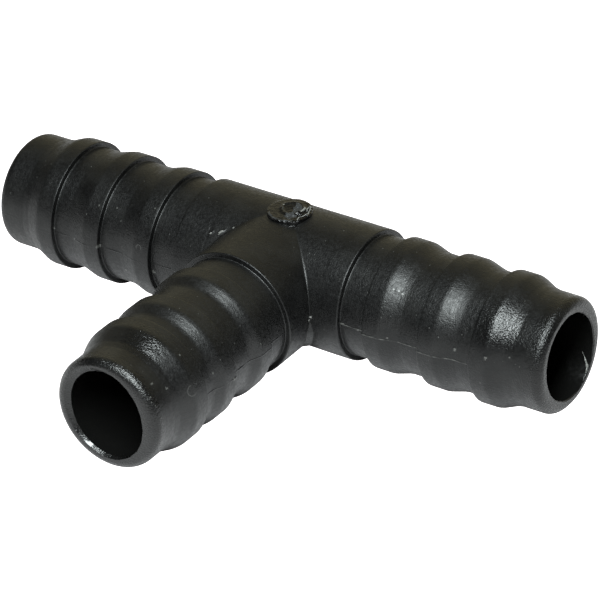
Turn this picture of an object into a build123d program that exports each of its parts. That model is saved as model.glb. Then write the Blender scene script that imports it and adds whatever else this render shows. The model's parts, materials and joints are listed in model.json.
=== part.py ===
from build123d import *
import math
import os

# Barbed tee connector for hose of 13 mm bore, moulded in one piece.
# The origin is where the axis of the run meets the axis of the branch.
# The run lies along X, the branch points to -Y, and the moulding gate is on top, towards +Z.
# All sizes are in millimetres. A distance called "from the tip" is measured along a spigot, inwards.

# Driving dimensions: the three legs
RUN_LEG = 35.0  # from the origin to either end of the run
BRANCH_LEG = 34.0  # from the origin to the end of the branch
BORE_RADIUS = 4.8

# Driving dimensions: the hub
HUB_RADIUS = 7.3
RUN_SHOULDER = 10.75  # from the origin to the hub's end face on the run
BRANCH_SHOULDER = 11.0  # from the origin to the hub's end face on the branch
SHOULDER_ROUND = 0.12

# Driving dimensions: the barbs, of the same height on every spigot
TIP_RADIUS = 6.4
ROOT_RADIUS = 6.7
CREST_RADIUS = 7.3
RUN_STEPS = (8.1, 14.4, 21.2)  # from the tip to each barb's back step
BRANCH_STEPS = (8.0, 13.1, 19.6)
CREST_LAND = 2.0  # level stretch between a ramp and its back step
RAMP_ANGLE = 17.5  # degrees, from the axis
RAMP_BLEND = 4.0  # radius that blends a ramp into the levels beside it
STEP_ROUND = 0.12

# Driving dimensions: the nose
NOSE_ROUND = 1.0
MOUTH_ROUND = 0.2

# Driving dimensions: the gate stub on the hub
GATE_CENTRE = (0.35, -0.35)  # as found: the sprue broke off a little towards the front
GATE_RADIUS = 2.5
GATE_HEIGHT = 0.32  # above the top of the hub
GATE_ROUND = 0.1
NIPPLE_RADIUS = 1.15  # the torn end of the sprue, inside the stub's rim
NIPPLE_HEIGHT = 0.12


def ramp_length(low, high):
    """Length along the axis that a ramp takes to climb from one radius to another."""
    return (high - low) / math.tan(math.radians(RAMP_ANGLE))


def barb_points(step, low):
    """The four corners of one barb as (from the tip, radius): ramp foot, ramp head, step head, step foot."""
    head = step - CREST_LAND
    foot = head - ramp_length(low, CREST_RADIUS)
    return [(foot, low), (head, CREST_RADIUS), (step, CREST_RADIUS), (step, ROOT_RADIUS)]


def rounded(face, points, radius):
    """The face with a round of the given radius on each of the named corners."""
    wanted = [
        vertex
        for vertex in face.vertices()
        if any(math.hypot(vertex.X - x, vertex.Y - y) < 0.01 for x, y in points)
    ]
    return fillet(wanted, radius)


def spigot(leg, shoulder, steps):
    """One barbed spigot along +X, from the hub's shoulder to its tip at x = leg."""
    ramp_corners = []
    step_corners = []
    outside = []
    low = TIP_RADIUS
    for step in steps:
        corners = barb_points(step, low)
        ramp_corners += corners[:2]
        step_corners += corners[2:]
        outside += corners
        low = ROOT_RADIUS
    nose = (0, TIP_RADIUS)
    mouth = (0, BORE_RADIUS)
    inner_end = leg - shoulder
    outline = [mouth, nose, *outside, (inner_end, ROOT_RADIUS), (inner_end, BORE_RADIUS)]

    def place(point):
        return leg - point[0], point[1]

    face = make_face(Polyline(*[place(point) for point in outline], close=True))
    face = rounded(face, [place(corner) for corner in ramp_corners], RAMP_BLEND)
    face = rounded(face, [place(corner) for corner in step_corners], STEP_ROUND)
    face = rounded(face, [place(nose)], NOSE_ROUND)
    face = rounded(face, [place(mouth)], MOUTH_ROUND)
    return revolve(face, axis=Axis.X)


def run_rod(radius, half_length):
    """A rod along the run, centred on the origin."""
    return Rotation(0, 90, 0) * Cylinder(radius, 2 * half_length)


def branch_rod(radius, length):
    """A rod along the branch, from the origin to y = -length."""
    from_origin = (Align.CENTER, Align.CENTER, Align.MIN)
    return Rotation(90, 0, 0) * Cylinder(radius, length, align=from_origin)


def hub_envelope():
    """The outside of the hub: two crossing rods with their ends lightly rounded."""
    body = run_rod(HUB_RADIUS, RUN_SHOULDER) + branch_rod(HUB_RADIUS, BRANCH_SHOULDER)
    ends = body.faces().filter_by(GeomType.PLANE)
    rims = [edge for face in ends for edge in face.edges().filter_by(GeomType.CIRCLE)]
    return fillet(rims, SHOULDER_ROUND)


def hub():
    """The hub, with the run's bore right through and the branch's bore opening into it."""
    bores = run_rod(BORE_RADIUS, RUN_SHOULDER) + branch_rod(BORE_RADIUS, BRANCH_SHOULDER)
    return hub_envelope() - bores


def gate_stub():
    """The disc that the sprue leaves on top of the hub, with its torn end in the middle."""
    upwards = (Align.CENTER, Align.CENTER, Align.MIN)
    sunk = GATE_HEIGHT + GATE_RADIUS**2 / HUB_RADIUS  # deep enough to meet the hub all round
    disc = Cylinder(GATE_RADIUS, sunk, align=upwards)
    rim = disc.edges().filter_by(GeomType.CIRCLE).sort_by(Axis.Z)[-1]
    disc = fillet(rim, GATE_ROUND)
    nipple = Pos(0, 0, sunk) * Cylinder(NIPPLE_RADIUS, NIPPLE_HEIGHT, align=upwards)
    top = HUB_RADIUS + GATE_HEIGHT
    return Pos(*GATE_CENTRE, top - sunk) * (disc + nipple) - hub_envelope()


def parts():
    """Every region of the moulding, by node name."""
    run_spigot = spigot(RUN_LEG, RUN_SHOULDER, RUN_STEPS)
    branch_spigot = spigot(BRANCH_LEG, BRANCH_SHOULDER, BRANCH_STEPS)
    return {
        "hub": hub(),
        "left_spigot": Rotation(0, 0, 180) * run_spigot,
        "right_spigot": run_spigot,
        "branch_spigot": Rotation(0, 0, -90) * branch_spigot,
        "gate_stub": gate_stub(),
    }


os.makedirs("parts", exist_ok=True)
for name, solid in parts().items():
    export_step(solid, f"parts/{name}.step")
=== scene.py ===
import json
import math

import bmesh
import bpy
import numpy as np
from mathutils import Matrix, Vector


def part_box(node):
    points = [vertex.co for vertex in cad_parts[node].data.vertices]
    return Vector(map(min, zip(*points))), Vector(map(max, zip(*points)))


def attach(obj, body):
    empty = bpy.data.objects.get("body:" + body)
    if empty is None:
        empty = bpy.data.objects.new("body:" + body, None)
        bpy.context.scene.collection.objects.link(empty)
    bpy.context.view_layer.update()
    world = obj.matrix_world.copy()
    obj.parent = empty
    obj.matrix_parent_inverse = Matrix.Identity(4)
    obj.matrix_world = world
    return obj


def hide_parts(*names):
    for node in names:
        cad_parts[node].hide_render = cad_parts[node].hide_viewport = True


# Barbed tee connector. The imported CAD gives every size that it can: the legs, the hub's shoulders, the bore
# and the crest. What it can't give, such as small rounds, moulding marks and finish, is named here in
# millimetres and turned into metres where meshes are made.

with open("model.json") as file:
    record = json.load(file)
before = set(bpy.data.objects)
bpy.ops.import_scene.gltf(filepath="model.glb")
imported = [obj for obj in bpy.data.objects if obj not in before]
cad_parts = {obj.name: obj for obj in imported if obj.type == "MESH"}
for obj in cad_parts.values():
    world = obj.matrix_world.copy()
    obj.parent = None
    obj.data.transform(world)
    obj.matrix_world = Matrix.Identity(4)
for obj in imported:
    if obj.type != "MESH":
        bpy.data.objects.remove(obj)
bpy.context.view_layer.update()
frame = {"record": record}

MM = 0.001


def frame_mm(node, corner, axis):
    """One coordinate of a CAD node's box in millimetres. corner is 0 for the lowest, 1 for the highest."""
    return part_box(node)[corner][axis] / MM


def mount_radius_mm(name):
    """The radius that the record states for a mount."""
    mount = next(m for m in frame["record"]["mounts"] if m["name"] == name)
    return mount["dims"]["r_mm"]


# ---------------------------------------------------------------- sizes from the frame
RUN_LEG = frame_mm("right_spigot", 1, 0)
RUN_SHOULDER = frame_mm("right_spigot", 0, 0)
BRANCH_LEG = -frame_mm("branch_spigot", 0, 1)
BRANCH_SHOULDER = -frame_mm("branch_spigot", 1, 1)
CREST_RADIUS = mount_radius_mm("right_hose")
BORE_RADIUS = mount_radius_mm("run_bore")
HUB_RADIUS = -frame_mm("hub", 0, 2)
FLOOR_Z = -CREST_RADIUS
GATE_LOW, GATE_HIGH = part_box("gate_stub")
GATE_CENTRE = ((GATE_LOW + GATE_HIGH) / 2 / MM).xy
GATE_RADIUS = (GATE_HIGH.x - GATE_LOW.x) / 2 / MM
GATE_TOP = GATE_HIGH.z / MM

# ---------------------------------------------------------------- barbs: sizes as in the CAD, tighter rounds
TIP_RADIUS = 6.4
ROOT_RADIUS = 6.7
RUN_STEPS = (8.1, 14.4, 21.2)  # from the tip to each barb's back step
BRANCH_STEPS = (8.0, 13.1, 19.6)
CREST_LAND = 2.0
RAMP_BLEND = 1.6
STEP_ROUND = 0.1
NOSE_ROUND = 1.0
MOUTH_ROUND = 0.05

# ---------------------------------------------------------------- where a spigot enters the hub, out of sight
SUNK = 0.35  # how far in from the shoulder
SUNK_RADIUS = 5.5

# ---------------------------------------------------------------- mesh fineness
HAIR = 0.01  # a difference too small to matter
ROUND_SPACING = 0.05  # along a small round
BLEND_SPACING = 0.12  # along a ramp's blend
SKIN_SPACING = 0.2  # along the outside
MOUTH_SPACING = 0.15  # in the first stretch of the bore
MOUTH_STRETCH = 1.5
BORE_SPACING = 0.6
SEGMENTS = 240  # round a spigot, before the parting line is refined
PARTING_SIDES = (90, 270)  # where the parting line is, in degrees round a leg
PARTING_COLUMNS = (-1.2, -0.8, -0.5, -0.25, 0, 0.25, 0.5, 0.8, 1.2)  # of vertices, in degrees from it
PARTING_GAP = 1.4  # degrees either side of it that only those columns fill


# ---------------------------------------------------------------- outlines
def corner_arc(before, corner, after, radius):
    """The points of an arc that rounds one corner of an outline."""
    corner = Vector(corner)
    back = (Vector(before) - corner).normalized()
    ahead = (Vector(after) - corner).normalized()
    turn = math.pi - back.angle(ahead)
    reach = radius * math.tan(turn / 2)
    start = corner + back * reach
    centre = corner + (back + ahead).normalized() * (radius / math.cos(turn / 2))
    spacing = ROUND_SPACING if radius < 1 else BLEND_SPACING
    count = max(4, math.ceil(radius * turn / spacing))
    direction = 1 if back.x * ahead.y - back.y * ahead.x < 0 else -1
    spoke = start - centre
    points = []
    for step in range(count + 1):
        angle = direction * turn * step / count
        cos, sin = math.cos(angle), math.sin(angle)
        x = centre.x + cos * spoke.x - sin * spoke.y
        y = centre.y + sin * spoke.x + cos * spoke.y
        points.append((x, y))
    return points


def rounded_outline(corners):
    """A closed outline's points from its (x, radius from the axis, round) corners."""
    points = []
    for i, (x, r, round_radius) in enumerate(corners):
        before = corners[i - 1][:2]
        after = corners[(i + 1) % len(corners)][:2]
        if round_radius > 0:
            points += corner_arc(before, (x, r), after, round_radius)
        else:
            points.append((x, r))
    return points


def filled_in(points, spacing_at):
    """The closed outline with points added, so that no stretch is longer than spacing_at says."""
    result = []
    for i, start in enumerate(points):
        end = points[(i + 1) % len(points)]
        middle = ((start[0] + end[0]) / 2, (start[1] + end[1]) / 2)
        pieces = max(1, math.ceil(math.dist(start, end) / spacing_at(middle)))
        for k in range(pieces):
            share = k / pieces
            x = start[0] + (end[0] - start[0]) * share
            r = start[1] + (end[1] - start[1]) * share
            result.append((x, r))
    return np.array(result)


def spigot_outline(leg, shoulder, steps, ramps, chamfer):
    """The closed half section of a spigot along +X: outside from the hub to the tip, back along the bore.
    A ramp is (angle of its foot, share of the climb that the foot takes, angle of its head)."""
    sunk = shoulder - SUNK
    foot = ROOT_RADIUS + STEP_ROUND
    corners = [
        (sunk, SUNK_RADIUS, 0),
        (sunk, foot, 0),
        (shoulder, foot, 0),
        (shoulder, ROOT_RADIUS, STEP_ROUND * 0.99),  # just short of the corner before it
    ]
    for index in (2, 1, 0):
        low = ROOT_RADIUS if index else TIP_RADIUS
        step = leg - steps[index]
        head = step + CREST_LAND
        foot_angle, foot_share, head_angle = ramps[index]
        knee = low + (CREST_RADIUS - low) * foot_share
        knee_x = head + (CREST_RADIUS - knee) / math.tan(math.radians(head_angle))
        ramp_foot = knee_x + (knee - low) / math.tan(math.radians(foot_angle))
        corners += [
            (step, ROOT_RADIUS, STEP_ROUND),
            (step, CREST_RADIUS, STEP_ROUND),
            (head, CREST_RADIUS, RAMP_BLEND),
            (knee_x, knee, RAMP_BLEND),
            (ramp_foot, low, RAMP_BLEND),
        ]
    corners += [
        (leg, TIP_RADIUS, NOSE_ROUND),
        (leg, BORE_RADIUS + chamfer, MOUTH_ROUND),
        (leg - chamfer, BORE_RADIUS, MOUTH_ROUND),
        (shoulder, BORE_RADIUS, 0),
    ]

    def spacing(point):
        if point[1] > BORE_RADIUS + HAIR:
            return SKIN_SPACING
        return MOUTH_SPACING if point[0] > leg - MOUTH_STRETCH else BORE_SPACING

    return filled_in(rounded_outline(corners), spacing)


# ---------------------------------------------------------------- surface marks
PARTING_HEIGHT = 0.045  # of the raised line where the mould's halves met
PARTING_WIDTH = 0.06
PARTING_WORN = 0.75  # the share of it that is worn off from the first barb to the tip
PARTING_ON_HUB = 0.35  # the share of it that shows on the hub
PALE_CHIP = 0.025  # specks that stand out more than this look pale
MARKS_FROM = TIP_RADIUS - 0.8  # marks begin at this radius, on the face of the nose
MARKS_FADE = 0.4  # and are whole this much further out
MOUTH_DEPTH = 2  # a mouth's own shape fades out over this much of the bore
MOUTH_EDGE = 5.95  # and ends at this radius on the face of the nose
MOUTH_EDGE_FADE = 0.8
POLISHED_SPREAD = 20  # degrees along a lip over which its polished nick fades out
POLISHED_TILT = 0.19  # how far the nick drops towards the bore
POLISHED_FROM = 0.93  # where there is more of the nick than this, it has the bore's gloss
POLISHED_DEPTH = 2  # and no further from the mouth than this
SKIN, BORE, CHIP, BURR = range(4)  # the order of a spigot's materials; the hub has the first three
RIPPLE_WAVES = 10


def ring_angles():
    """Angles round an axis, measured from +Z, closer together where the parting line is."""
    even = [360 * i / SEGMENTS for i in range(SEGMENTS)]
    kept = [angle for angle in even if min(abs(angle - side) for side in PARTING_SIDES) > PARTING_GAP]
    fine = [side + offset for side in PARTING_SIDES for offset in PARTING_COLUMNS]
    return np.radians(sorted(kept + fine))


def ripple(coordinates, seed, wavelength):
    """A smooth irregular field between about -1 and 1, from a sum of sine waves in seeded directions."""
    random = np.random.default_rng(seed)
    total = np.zeros(coordinates.shape[:-1])
    for _ in range(RIPPLE_WAVES):
        direction = random.normal(size=3)
        direction *= 2 * math.pi / wavelength * random.uniform(0.6, 1.6) / np.linalg.norm(direction)
        total += np.sin(coordinates @ direction + random.uniform(0, 2 * math.pi))
    return total / math.sqrt(RIPPLE_WAVES)


def parting_ridge(positions, seed):
    """How far the parting line stands out of the skin at each position. It is broken up along its length."""
    strength = 0.55 + 0.45 * np.clip(ripple(positions, seed, 2.2), -1, 1)
    return PARTING_HEIGHT * strength * np.exp(-((positions[..., 2] / PARTING_WIDTH) ** 2))


def speck(distance, height, width):
    """How far a small rounded speck of plastic stands out, at a distance from its middle."""
    return height * np.exp(-((distance / width) ** 2))


def away_from_path(x, y, path):
    """The distance from a crooked path."""
    nearest = np.full_like(x, math.inf)
    for (x0, y0), (x1, y1) in zip(path, path[1:]):
        along_x, along_y = x1 - x0, y1 - y0
        share = ((x - x0) * along_x + (y - y0) * along_y) / (along_x**2 + along_y**2)
        share = np.clip(share, 0, 1)
        nearest = np.minimum(nearest, np.hypot(x - x0 - share * along_x, y - y0 - share * along_y))
    return nearest


# ---------------------------------------------------------------- meshes
def mesh_object(name, vertices, faces, materials, material_of_face):
    """A smooth shaded object from vertices in millimetres, with a material for each face."""
    mesh = bpy.data.meshes.new(name)
    mesh.from_pydata((np.asarray(vertices) * MM).tolist(), [], faces)
    for material in materials:
        mesh.materials.append(material)
    mesh.polygons.foreach_set("material_index", material_of_face)
    mesh.polygons.foreach_set("use_smooth", [True] * len(mesh.polygons))
    mesh.update()
    piece = bpy.data.objects.new(name, mesh)
    bpy.context.scene.collection.objects.link(piece)
    return piece


def grid_faces(rows, columns, closed=False):
    """Quads of a grid of vertices whose rows are rings. The last row of a closed one also joins the first."""
    faces = []
    for i in range(rows if closed else rows - 1):
        row, next_row = i * columns, (i + 1) % rows * columns
        for j in range(columns):
            across = (j + 1) % columns
            faces.append([row + j, row + across, next_row + across, next_row + j])
    return faces


def turned_over(faces):
    """The faces seen from behind, each still starting at the same vertex."""
    return [[face[0], *face[:0:-1]] for face in faces]


def worked_on(piece, work):
    """Puts an object's mesh through work in edit form, and leaves every face pointing outwards."""
    skin = bmesh.new()
    skin.from_mesh(piece.data)
    work(skin)
    bmesh.ops.recalc_face_normals(skin, faces=skin.faces)
    skin.to_mesh(piece.data)
    skin.free()


def turned(outline, angles):
    """Positions of an outline of (x, r) points turned about the X axis."""
    x = np.repeat(outline[:, :1], len(angles), axis=1)
    y = -outline[:, 1:] * np.sin(angles)
    z = outline[:, 1:] * np.cos(angles)
    return np.stack([x, y, z], axis=-1)


def polished_share(angles, mouth):
    """1 in the middle of the stretch of a mouth's lip that is polished, and 0 well away from it."""
    if mouth["polished_at"] is None:
        return np.zeros_like(angles)
    return np.exp(-(((np.degrees(angles) - mouth["polished_at"]) / POLISHED_SPREAD) ** 2))


def into_bore(along, leg):
    """1 at the face of a mouth, and 0 well inside the bore."""
    return np.exp(-(((leg - along) / MOUTH_DEPTH) ** 2))


def mouth_oval(angles, mouth):
    """How far an oval mouth lies outside a round one."""
    return mouth["oval"] * np.cos(2 * (angles - math.radians(mouth["oval_at"])))


def mouth_shift(positions, radii, angles, leg, mouth, seed):
    """How far a mouth that is not quite true lies outside the round one, at each position near it."""
    along = positions[..., 0]
    polished = polished_share(angles, mouth)
    near_edge = np.clip((MOUTH_EDGE - radii) / MOUTH_EDGE_FADE, 0, 1)
    inside = into_bore(along, leg) * near_edge
    at_face = np.clip(1 - (leg - along) / mouth["chamfer"], 0, 1) * near_edge
    lean = mouth["lean"] * np.cos(angles - math.radians(mouth["lean_at"]))
    ragged = 0.02 * ripple(positions, seed, 0.9) * (1 - polished)
    wider = mouth["wider"] + mouth_oval(angles, mouth) + ragged
    return wider * inside + (lean - POLISHED_TILT * polished) * at_face


def burr_tube(path, leg, mouth):
    """A rag of flash along a crooked path of (from the hub's centre, degrees) on the wall of a mouth."""
    count, sides = 36, 10
    share = np.linspace(0, 1, count)
    knots = np.linspace(0, 1, len(path))
    along = np.interp(share, knots, [a for a, _ in path])
    angles = np.radians(np.interp(share, knots, [degrees for _, degrees in path]))
    thickness = 0.02 + 0.1 * np.sin(math.pi * share**1.3) ** 2 * (1 + 0.4 * np.sin(23 * share))
    wider = (mouth["wider"] + mouth_oval(angles, mouth)) * into_bore(along, leg)
    wall = BORE_RADIUS + wider - 0.5 * thickness
    inwards = np.stack([np.zeros(count), np.sin(angles), -np.cos(angles)], axis=-1)
    centres = np.stack([along, np.zeros(count), np.zeros(count)], axis=-1) - inwards * wall[:, None]
    ahead = np.gradient(centres, axis=0)
    sideways = np.cross(ahead, inwards)
    sideways /= np.linalg.norm(sideways, axis=-1, keepdims=True)
    rings = []
    for k in range(sides):
        turn = 2 * math.pi * k / sides
        spoke = inwards * math.cos(turn) + sideways * math.sin(turn)
        rings.append(centres + spoke * thickness[:, None])
    grid = np.stack(rings, axis=1)
    near_end = list(range(sides))
    far_end = [(count - 1) * sides + j for j in reversed(range(sides))]
    return grid.reshape(-1, 3), [*turned_over(grid_faces(count, sides)), near_end, far_end]


def spigot_chips(along, radii, angles, specks):
    """How far the specks on a spigot stand out of its skin."""
    chips = np.zeros_like(radii)
    for speck_along, degrees, height, width in specks:
        turn = np.mod(angles - math.radians(degrees) + math.pi, 2 * math.pi) - math.pi
        chips += speck(np.hypot(along - speck_along, radii * turn), height, width)
    return chips


def spigot(node, leg, shoulder, steps, ramps, quarter_turns, seed, mouth, specks, burr, materials):
    """A barbed spigot, turned from its outline and marked, then swung about Z to where it belongs.
    Steps and ramps are listed from the tip. A speck is (from the hub's centre, degrees round the leg, height,
    width). A burr in the bore is a crooked path of (from the hub's centre, degrees round the leg)."""
    outline = spigot_outline(leg, shoulder, steps, ramps, mouth["chamfer"])
    angles = ring_angles()
    round_shape = turned(outline, angles)
    along = round_shape[..., 0]
    radii = np.repeat(outline[:, 1:], len(angles), axis=1)
    nil = np.zeros_like(radii)
    outward = np.stack([nil, nil - np.sin(angles), nil + np.cos(angles)], axis=-1)

    outside = np.clip((radii - MARKS_FROM) / MARKS_FADE, 0, 1) * (along > shoulder + HAIR)
    on_nose = np.clip(along - (leg - steps[0] - 0.5), 0, 1)
    waviness = 0.012 * ripple(round_shape, seed, 9)
    ridge = parting_ridge(round_shape, seed + 1) * (1 - PARTING_WORN * on_nose)
    chips = spigot_chips(along, radii, angles, specks) * outside
    shift = mouth_shift(round_shape, radii, angles, leg, mouth, seed + 2)
    stand = (waviness + ridge) * outside + chips + shift
    vertices = (round_shape + outward * stand[..., None]).reshape(-1, 3)
    faces = grid_faces(len(outline), len(angles), closed=True)

    in_bore = outline[:, 1] < BORE_RADIUS + HAIR
    bore_rows = in_bore & np.roll(in_bore, -1)
    lip = (radii < BORE_RADIUS + mouth["chamfer"]) & (along > leg - POLISHED_DEPTH)
    polished = lip & (polished_share(angles, mouth) > POLISHED_FROM)
    material_of_face = np.where(bore_rows[:, None] | polished, BORE, SKIN).ravel()
    material_of_face[chips.ravel() > PALE_CHIP] = CHIP
    if burr:
        rag, rag_faces = burr_tube(burr, leg, mouth)
        faces += [[len(vertices) + k for k in face] for face in rag_faces]
        vertices = np.concatenate([vertices, rag])
        # The rag of flash takes the pale plastic as a painted highlight.
        material_of_face = np.concatenate([material_of_face, np.full(len(rag_faces), BURR)])
    swing = Matrix.Rotation(quarter_turns * math.pi / 2, 3, "Z")
    vertices = vertices @ np.array(swing.transposed())
    piece = mesh_object(node + "_moulded", vertices, faces, materials, material_of_face)
    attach(piece, "root")
    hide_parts(node)
    return piece


# ---------------------------------------------------------------- the hub
CREASE_ROUND = 0.22  # greatest reach of the blend where the branch meets the run
CREASE_SHARP = 0.05  # its least reach
CREASE_ROUND_Z = 3.9  # where it is greatest, and how far up and down it goes
CREASE_ROUND_SPREAD = 1.6
CAVITY_ROUND = 0.25
LOW_FACET = 0.44  # the flat strip along the crease below the parting line
LOW_FACET_TOP = -0.5  # the strip begins and ends at these heights, each end fading over a length
LOW_FACET_TOP_FADE = 1.5
LOW_FACET_BOTTOM = -6.8
LOW_FACET_BOTTOM_FADE = 0.8
RIM_ROUND = 0.15
CREASE_ROWS = (0, 0.03, 0.06, 0.1, 0.14, 0.19, 0.25, 0.32, 0.4, 0.5, 0.6, 0.7, 0.8)  # distances from a crease
CAVITY_CREASE_ROWS = (0, 0.05, 0.12, 0.2, 0.3)
MERGE_DISTANCE = 0.012  # between vertices of two sleeves that are the same one
WITNESS_X = -6.95  # a faint ring that the mould's insert left on the left of the hub
CREASE_SPECKS = (  # where flash broke off beside the creases, and how far it stands out
    ((-5.35, -4.77, 5.52), 0.13),
    ((-5.5, -4.95, 5.37), 0.12),
    ((-6.57, -5.11, 5.2), 0.12),
    ((-4.22, -4.11, 6.03), 0.07),
    ((7.4, -7.33, 0.1), 0.16),
    ((7.3, -7.45, -0.25), 0.12),
)


def smooth_union(first, second, reach):
    """The distance to two solids joined with a rounded crease."""
    mix = np.clip(0.5 + 0.5 * (second - first) / reach, 0, 1)
    return second * (1 - mix) + first * mix - reach * mix * (1 - mix)


def crossing(positions, outside):
    """The distance from each position to the crossing rods: the hub's outside, or else its cavity."""
    radius = HUB_RADIUS if outside else BORE_RADIUS
    x, y, z = positions[..., 0], positions[..., 1], positions[..., 2]
    run = np.hypot(y, z) - radius
    branch = np.maximum(np.hypot(x, z) - radius, y)
    if not outside:
        return smooth_union(run, branch, CAVITY_ROUND)
    rounder = np.exp(-(((z - CREASE_ROUND_Z) / CREASE_ROUND_SPREAD) ** 2))
    reach = CREASE_SHARP + (CREASE_ROUND - CREASE_SHARP) * rounder
    below_top = np.clip((LOW_FACET_TOP - z) / LOW_FACET_TOP_FADE, 0, 1)
    above_bottom = np.clip((z - LOW_FACET_BOTTOM) / LOW_FACET_BOTTOM_FADE, 0, 1)
    facet = LOW_FACET * below_top * above_bottom
    strip = np.where(facet > 0, (run + branch - facet) * math.sqrt(0.5), math.inf)
    return np.minimum(smooth_union(run, branch, reach), strip)


def outwards(positions, outside):
    """The direction straight out of the crossing rods at each position."""
    small = 1e-4
    here = crossing(positions, outside)
    slope = np.stack([crossing(positions + small * axis, outside) - here for axis in np.eye(3)], axis=-1)
    return slope / np.maximum(np.linalg.norm(slope, axis=-1, keepdims=True), 1e-9)


def settled(positions, outside):
    """Positions moved onto the skin of the crossing rods."""
    for _ in range(5):
        positions = positions - outwards(positions, outside) * crossing(positions, outside)[..., None]
    return positions


def sleeve_rows(start, end, near, far_count):
    """Distances along a leg from its crease to its rim: close together near the crease, then even."""
    rows = [start + step for step in near]
    last = rows[-1]
    return rows + [last + (end - last) * k / far_count for k in range(1, far_count + 1)]


def sleeve(angles, crease, shoulder, cavity_crease):
    """One leg of the hub along +X: outside from the crease to the rim, then the end face, then the cavity.
    Gives its grid of positions and how many of its rows are outside and in the cavity."""
    outside = sleeve_rows(crease, shoulder - RIM_ROUND, CREASE_ROWS, 44)
    cavity = sleeve_rows(cavity_crease, shoulder, CAVITY_CREASE_ROWS, 12)[::-1]
    ones = np.ones(len(angles))
    rows = [(along, HUB_RADIUS * ones) for along in outside]
    for turn in np.radians((18, 36, 54, 72, 90)):
        along = shoulder - RIM_ROUND * (1 - math.sin(turn))
        rows.append((along * ones, (HUB_RADIUS - RIM_ROUND * (1 - math.cos(turn))) * ones))
    for share in (0.25, 0.5, 0.75):
        rows.append((shoulder * ones, (HUB_RADIUS + (BORE_RADIUS - HUB_RADIUS) * share) * ones))
    rows += [(along, BORE_RADIUS * ones) for along in cavity]
    x = np.stack([along for along, _ in rows])
    r = np.stack([radius for _, radius in rows])
    return np.stack([x, -r * np.sin(angles), r * np.cos(angles)], axis=-1), len(outside), len(cavity)


def hub_stand(positions):
    """How far marks and waviness stand out of the hub's skin."""
    stand = 0.01 * ripple(positions, 31, 8)
    stand += PARTING_ON_HUB * parting_ridge(positions, 32)
    on_run = np.abs(positions[..., 1]) < np.abs(positions[..., 0]) + 0.3
    groove = speck(positions[..., 0] - WITNESS_X, 0.03, 0.09)
    return stand - groove * on_run


def crease_chips(positions):
    """How far the flash that broke off beside the creases stands out."""
    chips = np.zeros(positions.shape[:-1])
    for centre, height in CREASE_SPECKS:
        chips += speck(np.linalg.norm(positions - np.array(centre), axis=-1), height, 0.13)
    return chips


def hub(materials):
    """The hub: three sleeves that share their creases, merged into one closed skin."""
    angles = ring_angles()
    sine = np.abs(np.sin(angles))
    front = np.sin(angles) > 1e-9
    vertices, faces, material_of_face = [], [], []
    for leg in ("right", "left", "branch"):
        crossed = np.ones(len(angles), bool) if leg == "branch" else front
        shoulder = BRANCH_SHOULDER if leg == "branch" else RUN_SHOULDER
        crease = np.where(crossed, HUB_RADIUS * sine, 0)
        cavity_crease = np.where(crossed, BORE_RADIUS * sine, 0)
        grid, outside_rows, cavity_rows = sleeve(angles, crease, shoulder, cavity_crease)
        if leg == "left":
            grid[..., 0] *= -1
        if leg == "branch":
            grid = np.stack([-grid[..., 1], -grid[..., 0], grid[..., 2]], axis=-1)
        skin = settled(grid[:outside_rows], True)
        rim_fade = np.ones((outside_rows, 1))
        rim_fade[-1] = 0
        chips = crease_chips(skin)
        stand = (hub_stand(skin) + chips) * rim_fade
        grid[:outside_rows] = skin + outwards(skin, True) * stand[..., None]
        cavity = slice(len(grid) - cavity_rows, len(grid))
        grid[cavity] = settled(grid[cavity], False)
        rows, columns = grid.shape[:2]
        first = sum(len(v) for v in vertices)
        vertices.append(grid.reshape(-1, 3))
        for face in grid_faces(rows, columns):
            if leg != "right":
                face.reverse()
            faces.append([first + k for k in face])
        material = np.full((rows - 1, columns), SKIN)
        # The flash beside the creases takes the pale plastic: partly pale flash, partly a painted glint.
        material[:outside_rows][chips > 2 * PALE_CHIP] = CHIP
        material[rows - cavity_rows :] = BORE
        material_of_face.append(material.ravel())
    vertices = np.concatenate(vertices)
    piece = mesh_object("hub_body", vertices, faces, materials, np.concatenate(material_of_face))
    worked_on(piece, lambda skin: bmesh.ops.remove_doubles(skin, verts=skin.verts, dist=MERGE_DISTANCE * MM))
    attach(piece, "root")
    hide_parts("hub")
    return piece


# ---------------------------------------------------------------- the gate stub
NIPPLE_CENTRE = (0.1, 0.55)  # from the stub's centre
NIPPLE_RING = 1.2
EDGE_BEVEL_FROM = 0.86  # share of the stub's radius where its face starts to fall to the edge
EDGE_ROUND = 0.08
FACE_DROP = 0.12  # from the top of the CAD stub to the smooth part of the torn face
BEAD_CENTRE = (1.66, -1.92, -0.28)  # of the flash in front, from the stub's centre and the top of the hub
BEAD_RADIUS = 0.2
BEAD_STRETCH = (2.7, 0.8, 0.8)
BEAD_TURN = 41  # degrees
PALE_TEAR_AND_PAINTED_GLINT, FROSTED = 1, 2  # the order of the stub's materials, after its skin
TORN_LIP = (  # the crooked edge that the tear left, from the stub's centre
    (1.88, -1.3),
    (1.84, -0.9),
    (2.0, -0.66),
    (2.08, -0.34),
    (2.24, -0.02),
    (2.26, 0.3),
    (2.08, 0.62),
    (2.06, 0.95),
    (1.86, 1.2),
    (1.8, 1.5),
    (1.55, 1.42),
    (1.56, 1.12),
    (1.7, 0.85),
)
INNER_LIP = ((1.05, -0.1), (1.3, 0.2), (1.42, 0.6), (1.38, 0.95))


def nipple_distance(x, y):
    """The distance from the middle of the nipple."""
    return np.hypot(x - NIPPLE_CENTRE[0], y - NIPPLE_CENTRE[1])


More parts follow.
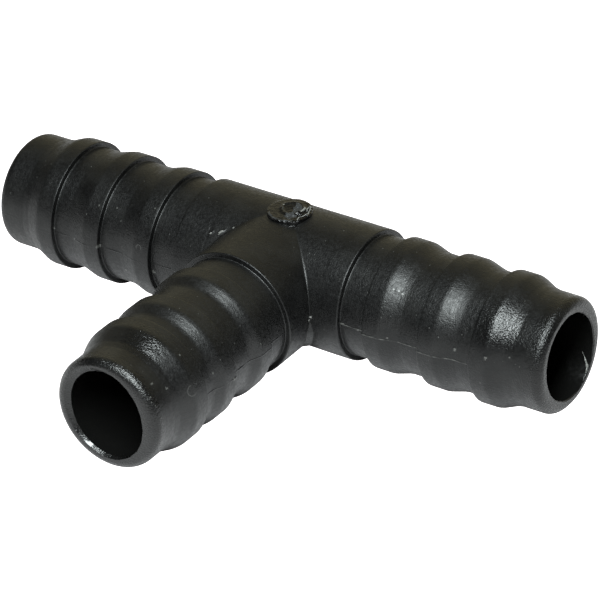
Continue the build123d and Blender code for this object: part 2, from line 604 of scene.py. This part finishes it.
def gate_height(x, y):
    """The height of the torn face over its smooth part, at places measured from the stub's centre."""
    flat = np.stack([x, y, np.zeros_like(x)], axis=-1)
    distance = np.hypot(x, y) / GATE_RADIUS
    from_nipple = nipple_distance(x, y)
    torn_side = np.clip(0.25 + (x * 0.85 - y * 0.5) / GATE_RADIUS, 0, 1)
    back_side = np.clip((x * 0.6 + y * 0.8) / GATE_RADIUS - 0.3, 0, 1)
    bevel = -0.07 * np.clip((distance - EDGE_BEVEL_FROM) / (1 - EDGE_BEVEL_FROM), 0, 1) ** 1.5
    back_rim = 0.16 * np.clip((distance - 0.7) / 0.2, 0, 1) * back_side
    ring_width = np.where(from_nipple < NIPPLE_RING, 0.2, 0.24 + 0.1 * torn_side)
    ring_height = (0.15 + 0.06 * torn_side) * (0.85 + 0.25 * ripple(flat, 6, 1.4))
    ring = speck(from_nipple - NIPPLE_RING, ring_height, ring_width)
    across_nipple = (x - NIPPLE_CENTRE[0]) * 0.54 - (y - NIPPLE_CENTRE[1]) * 0.84
    tilt = -0.16 * across_nipple * np.clip(1.3 - from_nipple, 0, 0.3) / 0.3
    crater = -speck(from_nipple, 0.09, 0.75)
    hollow = -speck(from_nipple - 1.72, 0.15 * torn_side, 0.26) * (distance < EDGE_BEVEL_FROM)
    tear = (0.004 + 0.03 * torn_side) * ripple(flat, 7, 0.6)
    outer_lip = speck(away_from_path(x, y, TORN_LIP), 0.13, 0.09)
    inner_lip = speck(away_from_path(x, y, INNER_LIP), 0.12, 0.15)
    return bevel + back_rim + ring + tilt + crater + hollow + tear + outer_lip + inner_lip


def gate_materials(places, face_rows):
    """The material of each face of the stub from its middle, measured from the stub's centre. Only the first
    rows are on the torn face."""
    x, y = places[..., 0], places[..., 1]
    from_nipple = nipple_distance(x, y)
    crater = (from_nipple < NIPPLE_RING - 0.2) & (x * 0.9 + y * 0.2 > 0.25 + 0.2 * ripple(places, 10, 0.9))
    beside_crater = np.hypot(x - 0.75, y + 1.05) < 0.6 + 0.15 * ripple(places, 8, 0.7)
    stretched = beside_crater & (from_nipple > NIPPLE_RING)
    front_rim = (np.abs(np.hypot(x, y) / GATE_RADIUS - 0.9) < 0.045) & (np.abs(x + 0.1) < 1.6) & (y < 0)
    broken_rim = front_rim & (ripple(places, 9, 0.6) > -0.5)
    # The ring's front lip takes the lighter frosted plastic, partly as a painted highlight.
    ring_front_highlight = (np.abs(from_nipple - 1.1) < 0.07) & (x * 0.3 - y > -0.35) & (x < 1)
    ring_highlight_spot = np.hypot(x + 1.07, y - 0.5) < 0.1
    inner_lip = away_from_path(x, y, INNER_LIP[1:]) < 0.12
    outer_lip = away_from_path(x, y, TORN_LIP) < 0.062
    material_of_face = np.full(x.shape, SKIN)
    material_of_face[crater | stretched | broken_rim | ring_front_highlight] = FROSTED
    # Painted highlight: the pale plastic on the ring's spot and the inner lip; on the outer lip it is partly
    # the pale of the tear and partly a painted highlight.
    material_of_face[ring_highlight_spot | inner_lip | outer_lip] = PALE_TEAR_AND_PAINTED_GLINT
    material_of_face[face_rows:] = SKIN
    return material_of_face


def finish_stub(skin):
    """Makes one vertex of each ring without a radius, and adds the bead of flash in front of the stub."""
    bmesh.ops.remove_doubles(skin, verts=skin.verts, dist=1e-7)
    bead = bmesh.ops.create_icosphere(skin, subdivisions=4, radius=BEAD_RADIUS * MM)
    right, back, up = BEAD_CENTRE
    place = Vector((GATE_CENTRE.x + right, GATE_CENTRE.y + back, HUB_RADIUS + up)) * MM
    turn = Matrix.Rotation(math.radians(BEAD_TURN), 3, "Z") @ Matrix.Diagonal(BEAD_STRETCH)
    for vertex in bead["verts"]:
        vertex.co = turn @ vertex.co + place


def gate_stub(materials):
    """The stub: an irregular disc with a torn face, sunk into the hub, and a bead of flash in front of it."""
    count, rings = 260, 62
    around = np.linspace(0, 2 * math.pi, count, endpoint=False)
    compass = np.stack([np.cos(around), np.sin(around), np.zeros(count)], axis=-1)
    reach = GATE_RADIUS * (0.995 + 0.03 * np.sin(around) + 0.014 * ripple(compass * 2, 3, 1.1))
    low_top = GATE_TOP - FACE_DROP
    rows = []
    for k in range(rings + 1):
        share = k / rings * (1 - EDGE_ROUND / GATE_RADIUS)
        x, y = reach * share * np.cos(around), reach * share * np.sin(around)
        rows.append(np.stack([x, y, low_top + gate_height(x, y)], axis=-1))
    edge = rows[-1]
    for turn in np.radians((20, 40, 60, 80)):
        wall = edge + compass * EDGE_ROUND * math.sin(turn)
        wall[:, 2] = edge[:, 2] - EDGE_ROUND * (1 - math.cos(turn))
        rows.append(wall)
    for drop in (0.35, 0.5, 0.8, 1.3):
        wall = rows[-1].copy()
        wall[:, 2] = low_top - drop
        rows.append(wall)
    rows.append(rows[-1] * (0, 0, 1))
    grid = np.stack(rows)
    grid[..., 0] += GATE_CENTRE.x
    grid[..., 1] += GATE_CENTRE.y
    faces = turned_over(grid_faces(len(rows), count))
    middles = (grid[:-1] + np.roll(grid[1:], -1, axis=1)) / 2 - (GATE_CENTRE.x, GATE_CENTRE.y, 0)
    material_of_face = gate_materials(middles, rings).ravel()
    piece = mesh_object("gate_stub_torn", grid.reshape(-1, 3), faces, materials, material_of_face)
    worked_on(piece, finish_stub)
    piece.data.polygons.foreach_set("use_smooth", [True] * len(piece.data.polygons))
    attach(piece, "root")
    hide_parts("gate_stub")
    return piece


# ---------------------------------------------------------------- materials
PER_MM = 1 / MM  # a texture scale of 1 on object coordinates in metres, made to count in millimetres


class Plastic:
    """A black plastic, built up from a Principled shader and procedural textures on object coordinates."""

    def __init__(self, name, colour, roughness):
        self.material = bpy.data.materials.new(name)
        self.material.use_nodes = True
        self.nodes = self.material.node_tree.nodes
        self.links = self.material.node_tree.links
        self.shader = self.nodes["Principled BSDF"]
        self.shader.inputs["Base Color"].default_value = (*colour, 1)
        self.shader.inputs["Roughness"].default_value = roughness
        self.shader.inputs["IOR"].default_value = 1.5
        self.place = self.nodes.new("ShaderNodeTexCoord").outputs["Object"]
        self.normal = None

    def stretched(self, scale):
        """Object coordinates in millimetres, multiplied by scale along each axis."""
        mapping = self.nodes.new("ShaderNodeMapping")
        mapping.inputs["Scale"].default_value = [PER_MM * s for s in scale]
        self.links.new(self.place, mapping.inputs["Vector"])
        return mapping.outputs["Vector"]

    def noise(self, scale, detail, stretch=(1, 1, 1)):
        """Noise with features of about 1 / scale millimetres."""
        texture = self.nodes.new("ShaderNodeTexNoise")
        texture.inputs["Scale"].default_value = scale
        texture.inputs["Detail"].default_value = detail
        self.links.new(self.stretched(stretch), texture.inputs["Vector"])
        return texture.outputs["Fac"]

    def cells(self, scale):
        """The distance from the middles of scattered cells, with about scale of them to a millimetre."""
        texture = self.nodes.new("ShaderNodeTexVoronoi")
        texture.inputs["Scale"].default_value = scale
        self.links.new(self.stretched((1, 1, 1)), texture.inputs["Vector"])
        return texture.outputs["Distance"]

    def ranged(self, value, low, high, to_low, to_high):
        """value moved from the range low..high to the range to_low..to_high, and kept inside it."""
        node = self.nodes.new("ShaderNodeMapRange")
        numbers = {"From Min": low, "From Max": high, "To Min": to_low, "To Max": to_high}
        for socket, number in numbers.items():
            node.inputs[socket].default_value = number
        self.links.new(value, node.inputs["Value"])
        return node.outputs["Result"]

    def combined(self, operation, *values):
        """One or two values put through a maths operation."""
        node = self.nodes.new("ShaderNodeMath")
        node.operation = operation
        for value, socket in zip(values, node.inputs):
            self.links.new(value, socket)
        return node.outputs[0]

    def distance_from_plane(self, axis):
        """The distance in millimetres from the plane through the origin that is square to an axis."""
        split = self.nodes.new("ShaderNodeSeparateXYZ")
        self.links.new(self.stretched((1, 1, 1)), split.inputs[0])
        return self.combined("ABSOLUTE", split.outputs[axis])

    def distance_from(self, centre):
        """The distance in millimetres from a point."""
        node = self.nodes.new("ShaderNodeVectorMath")
        node.operation = "DISTANCE"
        self.links.new(self.stretched((1, 1, 1)), node.inputs[0])
        node.inputs[1].default_value = centre
        return node.outputs["Value"]

    def bump(self, height, depth_mm, share=None):
        """Adds a bump of the given depth to the bumps so far. share scales it from place to place."""
        if share is not None:
            height = self.combined("MULTIPLY", height, share)
        node = self.nodes.new("ShaderNodeBump")
        node.inputs["Strength"].default_value = 1.0
        node.inputs["Distance"].default_value = depth_mm * MM
        self.links.new(height, node.inputs["Height"])
        if self.normal is not None:
            self.links.new(self.normal, node.inputs["Normal"])
        self.normal = node.outputs["Normal"]

    def colour(self, factor, other):
        """Mixes another colour into the base colour so far, where the factor says."""
        mix = self.nodes.new("ShaderNodeMix")
        mix.data_type = "RGBA"
        base = self.shader.inputs["Base Color"]
        below, above, result = mix.inputs[6], mix.inputs[7], mix.outputs[2]  # its colour sockets
        self.links.new(factor, mix.inputs[0])
        if base.is_linked:
            self.links.new(base.links[0].from_socket, below)
        else:
            below.default_value = base.default_value
        above.default_value = (*other, 1)
        self.links.new(result, base)

    def finished(self, roughness=None):
        """Links what was built and gives the material."""
        if roughness is not None:
            self.links.new(roughness, self.shader.inputs["Roughness"])
        if self.normal is not None:
            self.links.new(self.normal, self.shader.inputs["Normal"])
        return self.material


DEEP_BLACK = (0.002, 0.002, 0.002)
WORN_BLACK = (0.0065, 0.0065, 0.0062)
PALE_LINE = (0.075, 0.075, 0.07)
DUST = (0.09, 0.09, 0.085)
SHEEN = 0.4  # specular level: a little duller than bare plastic
PALE_LINE_ENDS = 25.5  # the pale stretch of the parting line goes this far from the hub's centre
PALE_LINE_GONE = 27.0
NOSE_WEAR_FROM = 2.4  # from the tip; the wear is whole nearer than NOSE_WORN
NOSE_WORN = 1.0
CURL_WIDTH = 0.07  # half the width of a curled mark's line


def moulded_plastic(
    name, turning=None, nose=None, pale_parting=False, spots=(), curls=(), sheen=SHEEN, grain=1.0
):
    """The skin: spark-eroded grain, scuffed patches and dust, and, where they are asked for, turning marks
    across the leg and a pale parting line. nose is (the leg's axis, its length): the nose's grain is deeper
    and glossier. A spot of still deeper grain is (its centre in millimetres, its reach). A curl is a pale
    mark: (its centre, its radius, the middle of its opening)."""
    plastic = Plastic(name, DEEP_BLACK, 0.3)
    plastic.shader.inputs["Specular IOR Level"].default_value = sheen
    patches = plastic.noise(0.35, 3.0)
    plastic.colour(plastic.ranged(patches, 0.45, 0.75, 0, 1), WORN_BLACK)
    cluster = plastic.ranged(plastic.noise(0.5, 2.0), 0.5, 0.65, 0, 1)
    dust = plastic.ranged(plastic.cells(1.3), 0.1, 0.04, 0, 1)
    plastic.colour(plastic.combined("MULTIPLY", dust, cluster), DUST)
    if pale_parting:
        dashes = plastic.ranged(plastic.noise(1.5, 3.0), 0.42, 0.6, 0.1, 1)
        line = plastic.ranged(plastic.distance_from_plane("Z"), 0.07, 0.03, 0, 1)
        before_nose = plastic.ranged(plastic.distance_from_plane("X"), PALE_LINE_GONE, PALE_LINE_ENDS, 0, 1)
        line = plastic.combined("MULTIPLY", line, before_nose)
        plastic.colour(plastic.combined("MULTIPLY", line, dashes), PALE_LINE)
    for centre, radius, opening in curls:
        away = plastic.distance_from(centre)
        inside = plastic.ranged(away, radius - CURL_WIDTH, radius, 0, 0.7)
        outside = plastic.ranged(away, radius + CURL_WIDTH, radius, 0, 0.7)
        closed = plastic.ranged(plastic.distance_from(opening), radius, 1.25 * radius, 0, 1)
        ring = plastic.combined("MULTIPLY", inside, outside)
        plastic.colour(plastic.combined("MULTIPLY", ring, closed), DUST)
    plastic.bump(plastic.noise(1.4, 2.0), 0.02)
    if turning is not None:
        plastic.bump(plastic.noise(1.0, 2.0, stretch=turning), 0.012)
    depth = plastic.ranged(plastic.noise(0.6, 2.0), 0.35, 0.65, 0.55 * grain, grain)
    rough = plastic.ranged(plastic.noise(3.0, 3.0), 0.3, 0.7, 0.34, 0.5)
    if nose is not None:
        axis, leg = nose
        from_centre = plastic.distance_from_plane(axis)
        worn = plastic.ranged(from_centre, leg - NOSE_WEAR_FROM, leg - NOSE_WORN, 0, 1)
        depth = plastic.combined("ADD", depth, worn)
        rough = plastic.combined("MULTIPLY", rough, plastic.ranged(worn, 0, 1, 1, 0.65))
    plastic.bump(plastic.noise(2.6, 2.0), 0.012, depth)
    plastic.bump(plastic.noise(6.0, 3.0), 0.042, depth)
    for centre, reach in spots:
        near = plastic.ranged(plastic.distance_from(centre), reach, 0.4 * reach, 0, 1)
        plastic.bump(plastic.noise(4.6, 3.0), 0.055, near)
        rough = plastic.combined("MULTIPLY", rough, plastic.ranged(near, 0, 1, 1, 0.6))
    return plastic.finished(rough)


def bore_plastic():
    """The bore: polished by the core pin, with faint draw lines."""
    plastic = Plastic("bore_plastic", (0.004, 0.004, 0.0038), 0.16)
    plastic.shader.inputs["Specular IOR Level"].default_value = SHEEN
    plastic.bump(plastic.noise(0.9, 2.0), 0.01)
    rough = plastic.ranged(plastic.noise(2.0, 2.0), 0.3, 0.7, 0.1, 0.22)
    return plastic.finished(rough)


def torn_edge_plastic():
    """Pale plastic. On the torn lip it is partly plastic that went pale as it stretched and partly a painted
    highlight; on the nipple ring's spot, the inner lip's streak and the rag of flash in the right bore it is
    a painted highlight; on the flash beside the hub's creases it is partly pale flash and partly a painted
    glint.
    """
    plastic = Plastic("torn_edge_plastic", (0.16, 0.16, 0.15), 0.25)
    plastic.bump(plastic.noise(3.0, 2.0), 0.02)
    return plastic.finished()


def chipped_plastic():
    """Small specks that stand out of the skin."""
    return Plastic("chipped_plastic", (0.06, 0.06, 0.056), 0.35).finished()


def frosted_plastic():
    """Where the tear stretched the plastic without whitening it. On the nipple ring's front lip its lighter
    colour also stands in as a painted highlight.
    """
    plastic = Plastic("frosted_plastic", (0.02, 0.0215, 0.023), 0.5)
    plastic.bump(plastic.noise(2.0, 2.0), 0.22)
    plastic.bump(plastic.noise(4.5, 2.0), 0.08)
    return plastic.finished()


def torn_plastic():
    """The gate stub: glossy facets where the plastic tore."""
    plastic = Plastic("torn_plastic", DEEP_BLACK, 0.2)
    plastic.shader.inputs["Specular IOR Level"].default_value = SHEEN
    plastic.bump(plastic.noise(2.2, 3.0), 0.1)
    plastic.bump(plastic.noise(6.0, 2.0), 0.03)
    rough = plastic.ranged(plastic.noise(1.5, 2.0), 0.35, 0.65, 0.12, 0.34)
    return plastic.finished(rough)


# ---------------------------------------------------------------- the studio
FLOOR_REACH = 0.9  # metres each way from the object


def floor(name, drop, colour, glow, seen):
    """A level floor, drop millimetres under the object, that glows and may be hidden from the camera."""
    mesh = bpy.data.meshes.new(name)
    corners = [(-1, -1), (1, -1), (1, 1), (-1, 1)]
    level = (FLOOR_Z - drop) * MM
    mesh.from_pydata([(x * FLOOR_REACH, y * FLOOR_REACH, level) for x, y in corners], [], [(0, 1, 2, 3)])
    sheet = bpy.data.objects.new(name, mesh)
    bpy.context.scene.collection.objects.link(sheet)
    material = bpy.data.materials.new(name)
    material.use_nodes = True
    shader = material.node_tree.nodes["Principled BSDF"]
    shader.inputs["Base Color"].default_value = (*colour, 1)
    shader.inputs["Roughness"].default_value = 0.9
    shader.inputs["Specular IOR Level"].default_value = 0.0
    shader.inputs["Emission Color"].default_value = (1.0, 1.0, 1.0, 1)
    shader.inputs["Emission Strength"].default_value = glow
    mesh.materials.append(material)
    sheet.visible_camera = seen


BRIGHT_SIDE = (-0.22, 0.945, 0.24)  # the way to the lightest part of the room: behind, to the left
ROOM_SHADES = (  # from its dark side to its light one, as (position, colour)
    (0.0, (0.06, 0.06, 0.06)),
    (0.3, (0.04, 0.04, 0.04)),
    (0.7, (0.26, 0.25, 0.19)),
    (1.0, (0.6, 0.55, 0.36)),
)


def surroundings():
    """A dim room that gets lighter and warmer towards one side."""
    world = bpy.data.worlds.new("room")
    bpy.context.scene.world = world
    world.use_nodes = True
    tree = world.node_tree
    background = tree.nodes["Background"]
    place = tree.nodes.new("ShaderNodeTexCoord")
    facing = tree.nodes.new("ShaderNodeVectorMath")
    facing.operation = "DOT_PRODUCT"
    tree.links.new(place.outputs["Generated"], facing.inputs[0])
    facing.inputs[1].default_value = BRIGHT_SIDE
    ramp = tree.nodes.new("ShaderNodeValToRGB")
    elements = ramp.color_ramp.elements
    for _ in ROOM_SHADES[2:]:
        elements.new(0.5)
    for element, (position, colour) in zip(elements, ROOM_SHADES):
        element.position = position
        element.color = (*colour, 1)
    tree.links.new(facing.outputs["Value"], ramp.inputs["Fac"])
    tree.links.new(ramp.outputs["Color"], background.inputs["Color"])
    background.inputs["Strength"].default_value = 1.0


def area_light(name, direction, distance, size, power, colour):
    """A soft light, size wide along X and long along Y, at a distance in metres and aimed at the hub."""
    lamp = bpy.data.lights.new(name, "AREA")
    lamp.shape = "RECTANGLE"
    lamp.size, lamp.size_y = size
    lamp.energy = power
    lamp.color = colour
    holder = bpy.data.objects.new(name, lamp)
    towards = Vector(direction).normalized()
    across = Vector((1, 0, 0)) - towards * towards.x
    across.normalize()
    turn = Matrix((across, towards.cross(across), towards)).transposed().to_4x4()
    holder.matrix_world = Matrix.Translation(towards * distance) @ turn
    bpy.context.scene.collection.objects.link(holder)


CAMERA_AZIMUTH = 34.8  # degrees from the front of the run towards its right end
CAMERA_ELEVATION = 31.26
CAMERA_ROLL = -2.06
CAMERA_DISTANCE = 429.16  # mm from the hub's centre, like the next two
CAMERA_AIM_RIGHT = 0.989
CAMERA_AIM_UP = -3.377
CAMERA_LENS = 238.18
CAMERA_SENSOR = 36


def studio_camera():
    """The camera: a long lens, turned and raised from the front of the run."""
    azimuth, elevation, roll = map(math.radians, (CAMERA_AZIMUTH, CAMERA_ELEVATION, CAMERA_ROLL))
    out, rise = math.cos(elevation), math.sin(elevation)
    back = Vector((math.sin(azimuth) * out, -math.cos(azimuth) * out, rise))
    level = Vector((math.cos(azimuth), math.sin(azimuth), 0))
    upright = back.cross(level)
    right = level * math.cos(roll) + upright * math.sin(roll)
    up = upright * math.cos(roll) - level * math.sin(roll)
    camera = bpy.data.cameras.new("camera")
    camera.sensor_width = CAMERA_SENSOR
    camera.lens = CAMERA_LENS
    camera.clip_end = 10
    holder = bpy.data.objects.new("camera", camera)
    turn = Matrix((right, up, back)).transposed().to_4x4()
    place = back * CAMERA_DISTANCE + right * CAMERA_AIM_RIGHT + up * CAMERA_AIM_UP
    holder.matrix_world = Matrix.Translation(place * MM) @ turn
    bpy.context.scene.collection.objects.link(holder)
    bpy.context.scene.camera = holder


# ---------------------------------------------------------------- the scene
RIGHT_SPECKS = [
    (10.95, 88.9, 0.1, 0.15),
    (12.9, 90.6, 0.05, 0.13),
    (16.35, 42.9, 0.05, 0.13),
    (16.9, 43.9, 0.06, 0.14),
    (17.4, 45.1, 0.05, 0.13),
    (16.7, 87.5, 0.05, 0.13),
    (24.9, 78.6, 0.07, 0.15),
    (28.9, 75.5, 0.07, 0.14),
    (31.2, 70.6, 0.06, 0.13),
]
LEFT_SPECKS = [
    (13.5, -100.6, 0.1, 0.2),
    (14.25, -40.3, 0.07, 0.15),
    (17.4, -109.5, 0.05, 0.15),
    (19.1, -49.4, 0.05, 0.13),
    (20.6, -89.1, 0.06, 0.11),
    (21.05, -52.5, 0.06, 0.14),
    (22.3, -62.6, 0.05, 0.12),
    (23.9, -89.5, 0.05, 0.13),
    (26.8, -87.4, 0.05, 0.13),
]
BRANCH_SPECKS = [
    (16.2, -80, 0.05, 0.12),
    (21.4, -90.5, 0.07, 0.17),
    (24.0, -75.3, 0.05, 0.13),
    (27.4, -43.4, 0.04, 0.12),
    (30.65, -59.6, 0.06, 0.16),
    (32.0, -48.4, 0.05, 0.14),
    (33.1, -66, 0.04, 0.1),
    (33.2, -57, 0.05, 0.11),
    (33.3, -61, 0.04, 0.1),
]
RIGHT_BURR = [
    (33.8, -115.2),
    (34.1, -119.5),
    (34.4, -124.7),
    (34.7, -129.3),
    (34.77, -134.1),
    (34.8, -138.4),
]
RUN_RAMPS = [(11, 0.2, 23), (10, 0.2, 16), (10, 0.2, 16.7)]  # as found, no two barbs quite alike
BRANCH_RAMPS = [(9, 0.15, 21), (12, 0.12, 23.5), (12, 0.12, 24.5)]

# A mouth is chamfered, wider than the bore, oval and leaning over, by so many millimetres. Where it is
# widest, where it leans to and where its lip has a polished nick are in degrees round the leg.
RIGHT_MOUTH = {
    "chamfer": 0.12,
    "wider": 0.1,
    "oval": 0.28,
    "oval_at": 33,
    "lean": 0.0,
    "lean_at": 0,
    "polished_at": None,
}
LEFT_MOUTH = {
    "chamfer": 0.12,
    "wider": 0.05,
    "oval": 0.1,
    "oval_at": 0,
    "lean": 0.0,
    "lean_at": 0,
    "polished_at": None,
}
BRANCH_MOUTH = {
    "chamfer": 0.35,
    "wider": -0.02,
    "oval": 0.18,
    "oval_at": 8,
    "lean": 0.33,
    "lean_at": 75,
    "polished_at": 148,
}

ALONG_RUN = (6.0, 0.12, 0.12)  # noise this much finer along the leg than round it gives turning marks
ALONG_BRANCH = (0.12, 6.0, 0.12)

hub_skin = moulded_plastic("hub_skin")
right_skin = moulded_plastic(
    "right_spigot_skin",
    turning=ALONG_RUN,
    nose=("X", RUN_LEG),
    pale_parting=True,
    spots=[((29.6, -5.2, 4.7), 4.0)],
)
left_skin = moulded_plastic(
    "left_spigot_skin",
    turning=ALONG_RUN,
    curls=[((-15.1, -7.0, 1.66), 0.33, (-15.1, -7.05, 1.3))],
)
branch_skin = moulded_plastic(
    "branch_spigot_skin",
    turning=ALONG_BRANCH,
    nose=("Y", BRANCH_LEG),
    spots=[((1.5, -29.0, 6.6), 3.5)],
    curls=[((6.92, -28.2, 2.12), 0.58, (6.92, -27.6, 2.3))],
    sheen=0.5,
    grain=0.8,
)
bore_skin = bore_plastic()
pale_tear_and_painted_glint = torn_edge_plastic()
chipped = chipped_plastic()
frosted = frosted_plastic()
torn_skin = torn_plastic()

hub([hub_skin, bore_skin, pale_tear_and_painted_glint])
run = (RUN_LEG, RUN_SHOULDER, RUN_STEPS, RUN_RAMPS)
branch = (BRANCH_LEG, BRANCH_SHOULDER, BRANCH_STEPS, BRANCH_RAMPS)
spigot(
    "right_spigot",
    *run,
    quarter_turns=0,
    seed=11,
    mouth=RIGHT_MOUTH,
    specks=RIGHT_SPECKS,
    burr=RIGHT_BURR,
    materials=[right_skin, bore_skin, chipped, pale_tear_and_painted_glint],
)
spigot(
    "left_spigot",
    *run,
    quarter_turns=2,
    seed=12,
    mouth=LEFT_MOUTH,
    specks=LEFT_SPECKS,
    burr=None,
    materials=[left_skin, bore_skin, chipped, pale_tear_and_painted_glint],
)
spigot(
    "branch_spigot",
    *branch,
    quarter_turns=3,
    seed=13,
    mouth=BRANCH_MOUTH,
    specks=BRANCH_SPECKS,
    burr=None,
    materials=[branch_skin, bore_skin, chipped, pale_tear_and_painted_glint],
)
gate_stub([torn_skin, pale_tear_and_painted_glint, frosted])

# The light table takes the light and the soft shadow, which show only in the object's gloss. The backdrop
# just under it is plain, and bright enough to look white.
floor("light_table", drop=0.0, colour=(0.73, 0.7, 0.71), glow=0.05, seen=False)
floor("backdrop", drop=0.5, colour=(0.8, 0.8, 0.8), glow=1.05, seen=True)
surroundings()
area_light(
    "softbox",
    direction=(0.25, -0.5, 0.83),
    distance=0.45,
    size=(0.12, 0.26),
    power=4.1,
    colour=(0.92, 1.0, 1.0),
)
studio_camera()
bpy.context.scene.view_settings.view_transform = "Standard"
